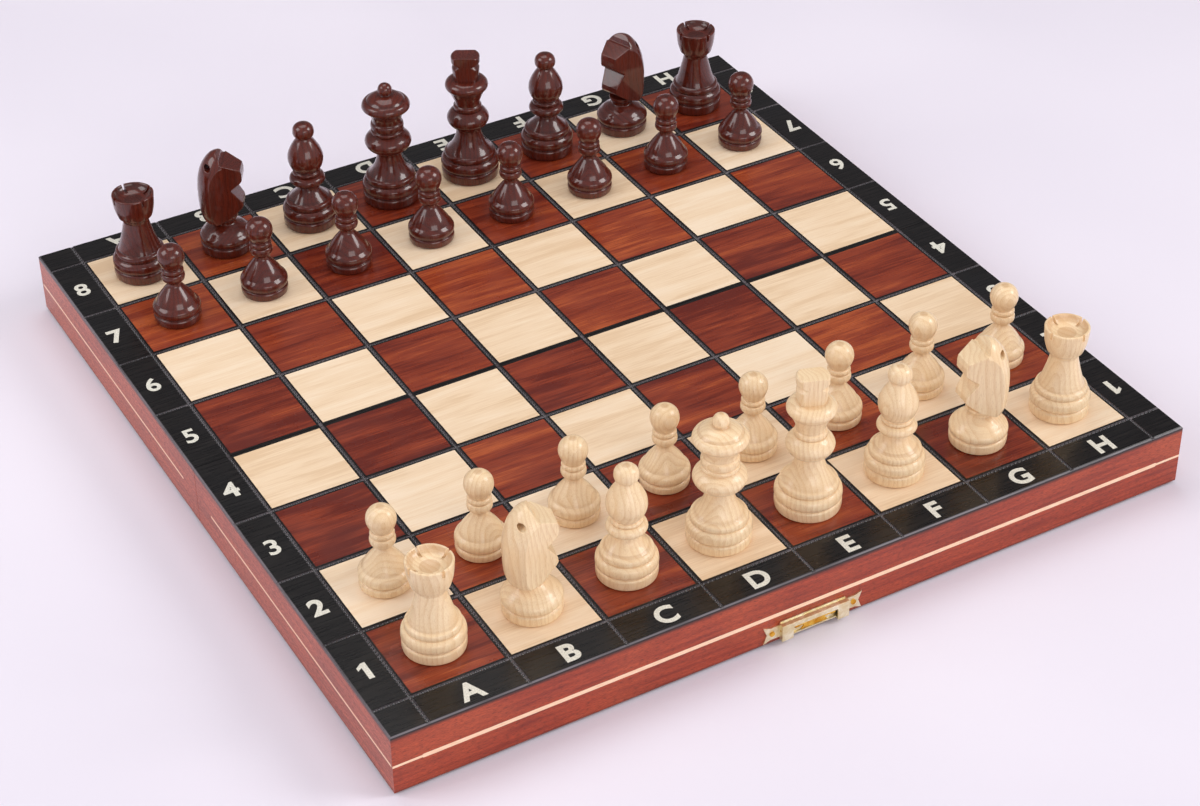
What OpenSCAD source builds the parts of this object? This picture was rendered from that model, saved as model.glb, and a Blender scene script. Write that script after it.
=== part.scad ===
// Folding chess set: a case made of two hinged half boxes whose outside is the
// playing surface, a spring clasp and thirty-two turned wooden pieces.
// Millimetres. +X runs from file a to file h, +Y from rank 1 to rank 8, +Z up.
// Origin: centre of the open board in plan, on the table under the hinge barrels.

/* [Board] */
// Centre distance of two squares
pitch = 40; // [36:0.5:46]
// Black border from the outermost groove to the edge of the board
border = 15; // [12:0.5:20]
// Width of the black strip between two squares
strip_w = 2.8; // [2:0.1:4]
// Thickness of the playing layer: squares and black border
layer_t = 1.5; // [1.2:0.1:2.5]
// Width of the pressed groove in the black strips
groove_w = 1.5; // [1:0.1:1.8]
// Depth of the pressed groove
groove_d = 0.6; // [0.3:0.1:0.9]

/* [Case] */
// Height of one half case, rim to playing surface
case_h = 27; // [24:0.5:36]
// Thickness of the case walls
wall_t = 7; // [6:0.5:9]
// Thickness of the plywood panel between the walls
core_t = 4; // [3:0.5:6]
// Chamfer along the outer top edge of the border
edge_chamfer = 0.7; // [0.3:0.1:1]
// Gap between the two half cases at the fold
seam_gap = 0.3; // [0.2:0.1:0.8]
// Height of the inlay line above the rim
inlay_z = 12.5; // [10:0.5:14]
// Height of the wide inlay strip on the end walls
inlay_wide = 1.8; // [1.2:0.1:2.6]
// Height of the narrow inlay strip on the side walls and corners
inlay_thin = 1.1; // [0.8:0.1:1.4]
// Depth of the inlay strips in the wood
inlay_d = 1; // [0.6:0.1:1.6]
// Length of the narrow strip beside each corner
inlay_end = 11.5; // [8:0.5:20]

/* [Hinges] */
// Distance of each hinge from the middle of the board
hinge_x = 100; // [70:5:120]
// Length of a hinge
hinge_len = 30; // [24:1:40]
// Height of a hinge leaf above the pin
leaf_h = 12; // [10:0.5:16]
// Thickness of a hinge leaf
leaf_t = 0.8; // [0.6:0.1:1]
// Outer radius of the hinge barrel
barrel_r = 1.25; // [1.2:0.05:1.6]
// Radius of the hinge pin
pin_r = 0.5; // [0.4:0.05:0.6]

/* [Clasp] */
// Length of the clasp plates over the fishtail ends
clasp_len = 44; // [40:1:52]
// Height of the clasp plates
clasp_h = 8.4; // [8:0.1:9]
// Thickness of the stamped clasp sheet
sheet_t = 0.6; // [0.5:0.05:0.7]
// Length of the raised trough of the clasp
trough_len = 30; // [28:1:32]
// How far the trough stands out of the wall
trough_out = 2.9; // [2.9:0.1:3.4]

/* [Chess pieces] */
// Radius of the pawn at its widest
pawn_r = 10.2; // [9.6:0.1:11]
// Radius of the rook at its widest
rook_r = 12.1; // [11.5:0.1:13]
// Radius of the knight at its widest
knight_r = 11.7; // [11:0.1:12.6]
// Radius of the bishop at its widest
bishop_r = 12; // [11.5:0.1:12.8]
// Radius of the queen at its widest
queen_r = 12.8; // [12.2:0.1:13.5]
// Radius of the king at its widest
king_r = 13.2; // [12.6:0.1:13.8]
// Width of the saw cuts in the rook's battlement
rook_cut = 1.3; // [1:0.1:2]
// Angle of the first saw cut from file direction
rook_cut_turn = 8; // [0:1:45]

/* [Hidden] */
$fn = 64;

files = 8;
half = files*pitch/2 + border;      // half the side of the board
fold_z = barrel_r;                  // the hinge axis; the barrels stand on the table
rim_z = fold_z + 0.1;               // rims stay 0.2 mm apart when folded shut
top_z = rim_z + case_h;
layer_z = top_z - layer_t;
core_z = layer_z - core_t;
seam = seam_gap/2;
eps = 0.05;                         // running gap round a square and under a piece
inner = half - wall_t;

leaf_gap = 0.1;                     // side gap between two knuckles
knuckle = hinge_len/3;
barrel_clear = 0.45;                // wood and leaves cut back round the barrel
pin_clear = 0.05;

nail_r = 0.5;
nail_len = 5;
nail_head_r = 1.1;
nail_head_t = 0.4;
leaf_nail_x = 10;
leaf_nail_z = 8;

plate_z = fold_z + 0.5;             // lower edge of the clasp plates
nail_x = clasp_len/2 - 3.8;
nail_z = plate_z + clasp_h/2;
tail = 3;                           // depth of the fishtail notch
waist = 1.4;                        // how far the plate is drawn in beside the trough
window_len = 20;
window_top = fold_z + 6.3;          // the window shows the lever and its pin
lever_len = 18;
lever_u = 1.6;                      // lever axis: distance out of the wall
lever_v = 5.4;                      // lever axis: height above the fold axis
lever_r = 0.75;
lever_pin_r = 0.4;
tab_len = 2.8;
tab_t = 0.5;
hasp_w = 12;
hasp_u = 1.9;
hasp_v = 2.2;
hasp_r = 1;
hasp_pin_r = 0.5;
hasp_len = 4.6;
ear_w = 1.5;

WOOD = "#8a3a20";
PLY = "#caa46c";
LIGHT = "#e9cf9f";
DARK = "#6d2413";
BLACK = "#1c1d20";
MAPLE = "#f0c489";
BRASS = "#d9c07a";
GOLD = "#c99a34";
PALE = "#e8cfa2";
ROSE = "#4b1c14";

// ---------- outline helpers: lists of [radius, height] ----------

// Point at share t between p1 and p2 on the smooth line through all four
function between(p0, p1, p2, p3, t) =
    0.5*(2*p1 + (p2 - p0)*t + (2*p0 - 5*p1 + 4*p2 - p3)*t*t + (3*p1 - p0 - 3*p2 + p3)*t*t*t);

// Smooth line through hand-picked points, n steps from each to the next
function curve(p, n = 2) = let (last = len(p) - 1) concat(
    [for (k = [0:last - 1]) for (i = [0:n - 1])
        between(p[max(k - 1, 0)], p[k], p[k + 1], p[min(k + 2, last)], i/n)],
    [p[last]]);

// Half-round ring from z0 to z1 that swells from radius r0 to rb
function bead(z0, z1, r0, rb, n = 6) =
    [for (i = [0:n]) [r0 + (rb - r0)*sin(180*i/n), z0 + (z1 - z0)*(1 - cos(180*i/n))/2]];

// Drops points that repeat the one before
function tidy(p) = [for (i = [0:len(p) - 1]) if (i == 0 || norm(p[i] - p[i - 1]) > 0.02) p[i]];

// Plain disc up to a groove at height g, then a ring up to height t
function foot(r, g, t) = concat(
    [[0, 0], [r - 0.9, 0], [r - 0.4, 0.5], [r - 0.15, 1.8], [r - 0.15, g - 0.9],
        [r - 0.45, g - 0.3], [r - 0.95, g]],
    curve([[r - 0.9, g + 0.2], [r - 0.2, g + 0.9], [r, g + 2], [r - 0.3, t - 1.2], [r - 1.3, t]]));

// Second, smaller ring above the foot, its lower edge at radius r and height z
function step(r, z) = curve([[r, z], [r + 0.3, z + 0.9], [r, z + 2.2], [r - 0.9, z + 2.9]]);

module turned(outline) {
    rotate_extrude($fn = 96) polygon(tidy(outline));
}

// ---------- chess pieces, each standing on z = 0 ----------

module pawn() {
    turned(concat(
        foot(pawn_r, 3.9, 8.6),
        curve([[8.6, 8.9], [7.5, 11], [6.1, 13], [4.4, 15.2], [3.2, 16.8], [2.9, 18]]),
        [[3.2, 18.8], [4.1, 19.3]],
        bead(19.5, 22.9, 4.2, 5),
        bead(23, 25.2, 4, 4.7),
        curve([[3.9, 25.4], [4.9, 27.3], [5.6, 29.3], [5.75, 31], [5.3, 33], [4.1, 34.7],
            [2.3, 35.8], [0, 36.1]])));
}

module rook() {
    difference() {
        turned(concat(
            foot(rook_r, 5, 10.1),
            step(rook_r - 1.8, 10.3),
            curve([[9.2, 13.3], [8.3, 15.6], [7.4, 18.6], [6.5, 22], [5.8, 25], [5.5, 26.8]]),
            curve([[5.6, 27.1], [6, 28.3], [6.8, 29.2]]),
            curve([[7.3, 29.4], [7.8, 31], [8.4, 33.4], [8.8, 36.6], [9, 39.7]]),
            [[8.8, 40.1], [8.2, 40.2]],
            curve([[7.9, 39.9], [7.1, 38.6], [5.4, 37.4], [2.6, 36.7], [0, 36.5]])));
        for (a = [0:90:270]) rotate([0, 0, a + rook_cut_turn])
            translate([5.2, -rook_cut/2, 37.2]) cube([6, rook_cut, 4]);
    }
}

// Side view of the knight's head, nose towards +X
HEAD = concat(
    [[-11, 14], [-2, 15.6], [3, 17.4], [8.4, 21.6], [9.3, 23], [9, 25], [4.7, 31.6]],
    [[9, 34.6], [9.7, 35.8], [9.8, 38.6], [9.3, 40.8], [2.3, 44.3], [1.2, 44.2]],
    [[0.6, 46.4], [-0.8, 48.2], [-3, 50], [-11, 50]]);

// Plan of the head: the cheeks are sawn so that they close in on the nose
CHEEKS = [[-4.6, 9.4], [10.5, 3.9], [10.5, -3.9], [-4.6, -9.4], [-12, -12.2], [-12, 12.2]];

module knight(turn) {
    rotate([0, 0, turn]) {
        turned(concat(
            foot(knight_r, 4.8, 9.2),
            curve([[10, 9.5], [8.6, 10.9], [6.6, 12.2], [5.2, 13.2]]),
            curve([[4.9, 13.5], [5.1, 14.8], [5.8, 16]]),
            [[5.8, 17], [0, 17]]));
        difference() {
            intersection() {
                rotate([90, 0, 0]) linear_extrude(30, center = true) polygon(HEAD);
                translate([0, 0, 14]) linear_extrude(40) polygon(CHEEKS);
                union() {
                    turned(concat([[0, 15], [8, 15]],
                        curve([[9, 15.8], [10, 19], [10.4, 25], [10.3, 32], [9.4, 38], [7.4, 43],
                            [4, 47.2], [0, 48.8]])));
                    translate([2, -8, 14]) cube([12, 16, 40]);
                }
            }
            translate([-4.4, 15, 43]) rotate([90, 0, 0]) cylinder(r = 1.4, h = 30, $fn = 32);
        }
    }
}

module bishop() {
    turned(concat(
        foot(bishop_r, 5, 9.9),
        step(bishop_r - 1.9, 10.1),
        curve([[8.9, 13.1], [7.6, 14.4], [6.1, 16], [5, 17.6], [4.5, 19.2]]),
        curve([[4.7, 19.9], [6.6, 20.6], [7.7, 21.8], [7.9, 22.8], [7.4, 24], [6.3, 24.8]]),
        bead(25, 26.7, 5.6, 6.2),
        curve([[5.4, 27], [6.7, 28.7], [7.6, 31], [7.85, 33.2], [7.5, 35.6], [6.4, 38.2],
            [5, 40.6], [3.8, 42.4], [3.4, 43.3]]),
        curve([[3.5, 43.6], [4.4, 44.4], [4.75, 46], [4.4, 48], [3.2, 49.4], [1.6, 50],
            [0, 50.2]])));
}

module queen() {
    turned(concat(
        foot(queen_r, 4.8, 10),
        step(queen_r - 1.9, 10.2),
        curve([[9.7, 13.3], [8.3, 15], [6.9, 17.4], [5.9, 20], [5.4, 22.6], [5.3, 24]]),
        curve([[5.5, 24.4], [7.4, 25.3], [9.4, 27], [10.3, 28.8], [10.35, 30.2], [9.6, 31.8],
            [8, 33.2]]),
        bead(33.8, 35.6, 6.9, 7.5),
        bead(35.8, 39.2, 6.7, 7.4),
        curve([[6.5, 39.6], [6.8, 41.6], [7.8, 43.8], [9.2, 45.4]]),
        curve([[9.5, 45.5], [10.6, 46.6], [10.7, 47.9], [10.1, 49.2], [9.2, 49.9]]),
        curve([[8.6, 50], [7.4, 51.2], [5.4, 52.2], [3.2, 52.7]]),
        curve([[2.7, 53], [3.2, 54.2], [3.15, 55.6], [2.5, 57], [1.3, 57.9], [0, 58.2]])));
}

// Half the outline of the king's finial, notched once at each side
FINIAL = [[5.5, 49], [6, 52.4], [6.2, 55], [4.9, 56.4], [6.4, 57.6], [6.5, 60.4], [6, 61]];

module king(turn) {
    finial_flat = 4.3;
    turned(concat(
        foot(king_r, 5, 10),
        step(king_r - 1.9, 10.2),
        curve([[10, 13.5], [8.6, 15.2], [7.1, 17.6], [6.1, 20.2], [5.5, 22.6], [5.35, 24]]),
        curve([[5.6, 24.4], [7.2, 25.4], [8.8, 27.2], [9.5, 29.2], [9.2, 30.8], [8, 32.6],
            [6.6, 33.8]]),
        bead(34, 36.2, 5.9, 6.4),
        curve([[5.6, 36.6], [5.9, 38.4], [7, 41.2], [8.5, 44]]),
        curve([[8.7, 44.1], [9.6, 45.4], [9.6, 46.8], [8.9, 48], [7.6, 48.9], [6.2, 49.3]]),
        [[0, 49.3]]));
    rotate([0, 0, turn]) intersection() {
        turned(concat([[0, 49]], FINIAL, [[0, 61]]));
        translate([-10, -finial_flat, 49]) cube([20, 2*finial_flat, 13]);
    }
}

// Puts a piece on a square; file and rank count from 0
module on_square(file, rank) {
    translate([(file - 3.5)*pitch, (rank - 3.5)*pitch, top_z + eps]) children();
}

// ---------- half cases; the front half is drawn, the rear half is its mirror image ----------

module each_hinge() {
    for (s = [-1, 1]) translate([s*hinge_x, 0, fold_z]) children();
}

module tiles(dark, rear) {
    side = pitch - strip_w - 2*eps;
    for (file = [0:7]) for (rank = [0:3]) {
        row = rear ? 7 - rank : rank;
        if (((file + row)%2 == 0) == dark)
            translate([(file - 3.5)*pitch - side/2, (rank - 3.5)*pitch - side/2, layer_z])
                cube([side, side, layer_t]);
    }
}

module border_layer() {
    hole = pitch - strip_w;
    difference() {
        translate([-half, -half, layer_z]) cube([2*half, half - seam, layer_t]);
        for (file = [0:7]) for (rank = [0:3])
            translate([(file - 3.5)*pitch - hole/2, (rank - 3.5)*pitch - hole/2, layer_z - 1])
                cube([hole, hole, layer_t + 2]);
        for (i = [-4:4]) translate([i*pitch - groove_w/2, -half - 1, top_z - groove_d])
            cube([groove_w, half + 2, 1]);
        for (i = [-4:-1]) translate([-half - 1, i*pitch - groove_w/2, top_z - groove_d])
            cube([2*half + 2, groove_w, 1]);
        edge_cut();
        for (s = [-1, 1]) rotate([0, 0, s*90]) edge_cut();
    }
}

// Long wedge that chamfers the outer top edge of the front side
module edge_cut() {
    c = edge_chamfer;
    translate([-half - 1, 0, 0]) rotate([90, 0, 90]) linear_extrude(2*half + 2)
        polygon([[-half - 1, top_z - c - 1], [-half + c + 1, top_z + 1], [-half - 1, top_z + 1]]);
}

module core_panel() {
    translate([-inner, -inner, core_z]) cube([2*inner, inner - seam, core_t]);
}

module end_wall() {
    difference() {
        translate([0, 0, rim_z]) linear_extrude(layer_z - rim_z)
            polygon([[-half, -half], [half, -half], [inner, -inner], [-inner, -inner]]);
        end_inlay();
        for (s = [-1, 1]) wall_nail(s*nail_x);
    }
}

module side_walls() {
    difference() {
        translate([0, 0, rim_z]) linear_extrude(layer_z - rim_z) for (s = [-1, 1])
            polygon([[s*half, -half], [s*inner, -inner], [s*inner, -seam], [s*half, -seam]]);
        side_inlays();
    }
}

module hinge_wall() {
    difference() {
        translate([-inner, -wall_t - seam, rim_z])
            cube([2*inner, wall_t, core_z - rim_z]);
        each_hinge() {
            translate([-hinge_len/2 - eps, -leaf_t - seam, -1])
                cube([hinge_len + 2*eps, 2, leaf_h + 1 + eps]);
            rotate([0, 90, 0])
                cylinder(r = barrel_r + barrel_clear, h = hinge_len + 0.6, center = true);
            leaf_nails();
        }
    }
}

// Wide strip along the end wall with a narrow tail to each corner
module end_inlay() {
    z = rim_z + inlay_z;
    translate([-half, -half, z - inlay_thin/2]) cube([2*half, inlay_d, inlay_thin]);
    translate([inlay_end - half + inlay_wide/2, -half, z - inlay_wide/2])
        cube([2*(half - inlay_end) - inlay_wide, inlay_d, inlay_wide]);
    for (s = [-1, 1]) translate([s*(half - inlay_end - inlay_wide/2), -half, z])
        rotate([-90, 0, 0]) cylinder(d = inlay_wide, h = inlay_d, $fn = 24);
}

// Narrow strip along each side wall, with a round end short of the fold
module side_inlays() {
    z = rim_z + inlay_z;
    end = inlay_end + 3;
    for (s = [-1, 1]) {
        translate([s > 0 ? half - inlay_d : -half, inlay_d - half, z - inlay_thin/2])
            cube([inlay_d, half - end - inlay_d, inlay_thin]);
        translate([s > 0 ? half - inlay_d : -half, -end, z])
            rotate([0, 90, 0]) cylinder(d = inlay_thin, h = inlay_d, $fn = 24);
    }
}

// ---------- brass fittings ----------

// Flat-headed nail driven along -Z from z = 0, its head above
module nail() {
    cylinder(r = nail_head_r, h = nail_head_t, $fn = 32);
    translate([0, 0, -nail_len]) cylinder(r = nail_r, h = nail_len + 0.1, $fn = 32);
}

// Nail through a clasp plate into the end wall
module wall_nail(x) {
    translate([x, -half - sheet_t, nail_z]) rotate([90, 0, 0]) nail();
}

// Nails through one hinge leaf, heads sunk in it; drawn about the hinge's middle
module leaf_nails() {
    for (s = [-1, 1]) translate([s*leaf_nail_x, -seam - nail_head_t, leaf_nail_z])
        rotate([-90, 0, 0]) nail();
}

// One leaf with the knuckles at the places in own; others are the mate's knuckles
module leaf(own, others, bore_r) {
    difference() {
        union() {
            translate([-hinge_len/2, -leaf_t - seam, 0]) cube([hinge_len, leaf_t, leaf_h]);
            for (k = own) translate([(k - 0.5)*knuckle + leaf_gap/2, 0, 0])
                rotate([0, 90, 0]) cylinder(r = barrel_r, h = knuckle - leaf_gap);
        }
        for (k = others) translate([(k - 0.5)*knuckle - leaf_gap, -3, -3])
            cube([knuckle + 2*leaf_gap, 6, 3 + barrel_r + barrel_clear]);
        rotate([0, 90, 0]) cylinder(r = bore_r, h = hinge_len + 2, center = true, $fn = 32);
        leaf_nails();
    }
}

// Stamped plate with fishtail ends, lying on the front end wall
module clasp_sheet() {
    a = clasp_len/2;
    b = trough_len/2;
    h = clasp_h;
    translate([0, -half, plate_z]) rotate([90, 0, 0]) linear_extrude(sheet_t)
        polygon([[-a, 0.3], [-a + tail, waist], [-b, waist], [-b + 0.6, 0],
            [b - 0.6, 0], [b, waist], [a - tail, waist], [a, 0.3],
            [a - tail*0.5, h/2],
            [a, h - 0.3], [a - tail, h - waist], [b, h - waist], [b - 0.6, h],
            [0.6 - b, h], [-b, h - waist], [tail - a, h - waist], [-a, h - 0.3],
            [-a + tail*0.5, h/2]]);
}

module trough() {
    b = trough_len/2;
    low = plate_z + 0.5;
    high = plate_z + clasp_h - 0.5;
    difference() {
        translate([-b, -half - trough_out, low]) cube([2*b, trough_out - sheet_t, high - low]);
        translate([-b + sheet_t, -half - trough_out + sheet_t, low + sheet_t])
            cube([2*b - 2*sheet_t, trough_out, high - low - 2*sheet_t]);
        translate([-window_len/2, -half - trough_out - 1, low - 1])
            cube([window_len, trough_out + 1 - 2*sheet_t, window_top - low + 1]);
    }
}

// ---------- nodes ----------

module front_panel_core() { color(PLY) core_panel(); }
module front_light_squares() { color(LIGHT) tiles(false, false); }
module front_dark_squares() { color(DARK) tiles(true, false); }
module front_border() { color(BLACK) border_layer(); }
module front_end_wall() { color(WOOD) end_wall(); }
module front_side_walls() { color(WOOD) side_walls(); }
module front_hinge_wall() { color(WOOD) hinge_wall(); }

module front_inlays() {
    color(MAPLE) {
        end_inlay();
        side_inlays();
    }
}

module rear_panel_core() { color(PLY) mirror([0, 1, 0]) core_panel(); }
module rear_light_squares() { color(LIGHT) mirror([0, 1, 0]) tiles(false, true); }
module rear_dark_squares() { color(DARK) mirror([0, 1, 0]) tiles(true, true); }
module rear_border() { color(BLACK) mirror([0, 1, 0]) border_layer(); }
module rear_end_wall() { color(WOOD) mirror([0, 1, 0]) end_wall(); }
module rear_side_walls() { color(WOOD) mirror([0, 1, 0]) side_walls(); }
module rear_hinge_wall() { color(WOOD) mirror([0, 1, 0]) hinge_wall(); }
module rear_inlays() { color(MAPLE) mirror([0, 1, 0]) front_inlays(); }

module hinge_front_leaves() {
    color(BRASS) each_hinge() leaf([-1, 1], [0], pin_r);
}

module hinge_rear_leaves() {
    color(BRASS) each_hinge() mirror([0, 1, 0]) leaf([0], [-1, 1], pin_r + pin_clear);
}

module hinge_pins() {
    color(GOLD) each_hinge() rotate([0, 90, 0])
        cylinder(r = pin_r, h = hinge_len - leaf_gap, center = true, $fn = 32);
}

module front_nails() {
    color(GOLD) {
        for (s = [-1, 1]) wall_nail(s*nail_x);
        each_hinge() leaf_nails();
    }
}

module rear_nails() { color(GOLD) mirror([0, 1, 0]) front_nails(); }

module clasp_plate() {
    color(BRASS) difference() {
        union() {
            clasp_sheet();
            trough();
        }
        for (s = [-1, 1]) wall_nail(s*nail_x);
        translate([0, -half - lever_u, fold_z + lever_v]) rotate([0, 90, 0])
            cylinder(r = lever_pin_r, h = trough_len + 2, center = true, $fn = 32);
    }
}

// Spring catch in the trough: a roller on the pin with a flared tab below it
module clasp_lever() {
    color(GOLD) translate([0, -half - lever_u, fold_z + lever_v]) difference() {
        union() {
            rotate([0, 90, 0]) cylinder(r = lever_r, h = lever_len, center = true, $fn = 32);
            for (s = [-1, 1]) translate([s*(lever_len/2 - 1), 0, 0]) rotate([0, 90, 0])
                cylinder(r = lever_r + 0.2, h = 1.6, center = true, $fn = 32);
            rotate([90, 0, 0]) linear_extrude(tab_t, center = true)
                polygon([[-4, 0], [-6, -tab_len], [6, -tab_len], [4, 0]]);
        }
        rotate([0, 90, 0])
            cylinder(r = lever_pin_r + pin_clear, h = lever_len + 2, center = true, $fn = 32);
    }
}

module clasp_lever_pin() {
    color(GOLD) translate([0, -half - lever_u, fold_z + lever_v]) rotate([0, 90, 0])
        cylinder(r = lever_pin_r, h = trough_len, center = true, $fn = 32);
}

// Ears that hold the hasp's pin, on a plate of the same outline
module hasp_plate() {
    color(BRASS) mirror([0, 1, 0]) difference() {
        union() {
            clasp_sheet();
            for (s = [-1, 1]) translate([s*(hasp_w/2 + 0.2 + ear_w/2), 0, 0]) {
                translate([-ear_w/2, -half - hasp_u, fold_z + hasp_v - hasp_r])
                    cube([ear_w, hasp_u - sheet_t + 0.01, 2*hasp_r]);
                translate([-ear_w/2, -half - hasp_u, fold_z + hasp_v]) rotate([0, 90, 0])
                    cylinder(r = hasp_r, h = ear_w, $fn = 32);
            }
        }
        for (s = [-1, 1]) wall_nail(s*nail_x);
        translate([0, -half - hasp_u, fold_z + hasp_v]) rotate([0, 90, 0])
            cylinder(r = hasp_pin_r, h = hasp_w + 9, center = true, $fn = 32);
    }
}

// Swinging hook: rolled eye, short plate and a lip that drops behind the lever's tab
module hasp() {
    color(BRASS) mirror([0, 1, 0]) translate([0, -half - hasp_u, fold_z + hasp_v]) difference() {
        union() {
            rotate([0, 90, 0]) cylinder(r = hasp_r, h = hasp_w, center = true, $fn = 32);
            translate([-hasp_w/2, 0.45, 0]) cube([hasp_w, tab_t, hasp_len]);
            translate([-hasp_w/2, -0.35, hasp_len - 0.6]) cube([hasp_w, 1.3, 0.6]);
        }
        rotate([0, 90, 0])
            cylinder(r = hasp_pin_r + pin_clear, h = hasp_w + 2, center = true, $fn = 32);
    }
}

module hasp_pin() {
    color(GOLD) mirror([0, 1, 0]) translate([0, -half - hasp_u, fold_z + hasp_v])
        rotate([0, 90, 0])
            cylinder(r = hasp_pin_r, h = hasp_w + 0.4 + 2*ear_w, center = true, $fn = 32);
}

module rook_at(file, rank) { on_square(file, rank) rook(); }
module knight_at(file, rank, turn) { on_square(file, rank) knight(turn); }
module bishop_at(file, rank) { on_square(file, rank) bishop(); }
module queen_at(rank) { on_square(3, rank) queen(); }
module king_at(rank, turn) { on_square(4, rank) king(turn); }
module pawn_at(file, rank) { on_square(file, rank) pawn(); }

front_panel_core();
front_light_squares();
front_dark_squares();
front_border();
front_end_wall();
front_side_walls();
front_hinge_wall();
front_inlays();
rear_panel_core();
rear_light_squares();
rear_dark_squares();
rear_border();
rear_end_wall();
rear_side_walls();
rear_hinge_wall();
rear_inlays();
hinge_front_leaves();
hinge_rear_leaves();
hinge_pins();
front_nails();
rear_nails();
clasp_plate();
clasp_lever();
clasp_lever_pin();
hasp_plate();
hasp();
hasp_pin();
color(PALE) rook_at(0, 0);  // white_rook_a
color(PALE) knight_at(1, 0, -12);  // white_knight_b
color(PALE) bishop_at(2, 0);  // white_bishop_c
color(PALE) queen_at(0);  // white_queen
color(PALE) king_at(0, -20);  // white_king
color(PALE) bishop_at(5, 0);  // white_bishop_f
color(PALE) knight_at(6, 0, 172);  // white_knight_g
color(PALE) rook_at(7, 0);  // white_rook_h
color(PALE) pawn_at(0, 1);  // white_pawn_a
color(PALE) pawn_at(1, 1);  // white_pawn_b
color(PALE) pawn_at(2, 1);  // white_pawn_c
color(PALE) pawn_at(3, 1);  // white_pawn_d
color(PALE) pawn_at(4, 1);  // white_pawn_e
color(PALE) pawn_at(5, 1);  // white_pawn_f
color(PALE) pawn_at(6, 1);  // white_pawn_g
color(PALE) pawn_at(7, 1);  // white_pawn_h
color(ROSE) rook_at(0, 7);  // black_rook_a
color(ROSE) knight_at(1, 7, -30);  // black_knight_b
color(ROSE) bishop_at(2, 7);  // black_bishop_c
color(ROSE) queen_at(7);  // black_queen
color(ROSE) king_at(7, -30);  // black_king
color(ROSE) bishop_at(5, 7);  // black_bishop_f
color(ROSE) knight_at(6, 7, 200);  // black_knight_g
color(ROSE) rook_at(7, 7);  // black_rook_h
color(ROSE) pawn_at(0, 6);  // black_pawn_a
color(ROSE) pawn_at(1, 6);  // black_pawn_b
color(ROSE) pawn_at(2, 6);  // black_pawn_c
color(ROSE) pawn_at(3, 6);  // black_pawn_d
color(ROSE) pawn_at(4, 6);  // black_pawn_e
color(ROSE) pawn_at(5, 6);  // black_pawn_f
color(ROSE) pawn_at(6, 6);  // black_pawn_g
color(ROSE) pawn_at(7, 6);  // black_pawn_h
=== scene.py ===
"""Looks of the folding chess set: woods, brass, turned pieces, rope lines, lettering and studio."""

import math
import random

import bmesh
import bpy
from mathutils import Matrix, Vector


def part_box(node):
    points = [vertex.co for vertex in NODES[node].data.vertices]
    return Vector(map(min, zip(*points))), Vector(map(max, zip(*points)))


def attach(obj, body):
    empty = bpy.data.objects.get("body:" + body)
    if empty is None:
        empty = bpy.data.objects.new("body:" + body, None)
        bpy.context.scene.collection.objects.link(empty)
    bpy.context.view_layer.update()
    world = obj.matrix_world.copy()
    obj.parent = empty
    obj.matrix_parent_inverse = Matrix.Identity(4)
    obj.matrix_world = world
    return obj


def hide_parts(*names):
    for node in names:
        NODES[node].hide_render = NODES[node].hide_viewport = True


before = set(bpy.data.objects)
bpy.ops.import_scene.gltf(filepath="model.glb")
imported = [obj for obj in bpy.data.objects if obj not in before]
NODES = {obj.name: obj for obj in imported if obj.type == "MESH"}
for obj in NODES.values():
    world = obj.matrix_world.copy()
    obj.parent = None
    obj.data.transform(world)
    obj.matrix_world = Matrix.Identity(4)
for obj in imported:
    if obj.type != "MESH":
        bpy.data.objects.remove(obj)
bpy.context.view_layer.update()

MM = 0.001
PITCH = 40.0
STAND_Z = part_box("white_pawn_a")[0].z / MM
TOP_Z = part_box("front_border")[1].z / MM
LAYER_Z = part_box("front_border")[0].z / MM
HALF = -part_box("front_border")[0].x / MM
FILES = "abcdefgh"

# ---------------------------------------------------------------- camera


def make_camera():
    data = bpy.data.cameras.new("camera")
    data.sensor_width = 36.0
    data.lens = 79.48
    data.clip_start, data.clip_end = 0.05, 20.0
    cam = bpy.data.objects.new("camera", data)
    bpy.context.scene.collection.objects.link(cam)
    where = Vector((-0.43504, -0.79172, 0.66647))
    azimuth, elevation, roll = math.radians(29.22), math.radians(36.67), math.radians(0.8)
    level = math.cos(elevation)
    forward = Vector((math.sin(azimuth) * level, math.cos(azimuth) * level, -math.sin(elevation)))
    turn = forward.to_track_quat("-Z", "Y").to_matrix().to_4x4()
    cam.matrix_world = Matrix.Translation(where) @ turn @ Matrix.Rotation(-roll, 4, "Z")
    bpy.context.scene.camera = cam


# ---------------------------------------------------------------- node helpers


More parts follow.
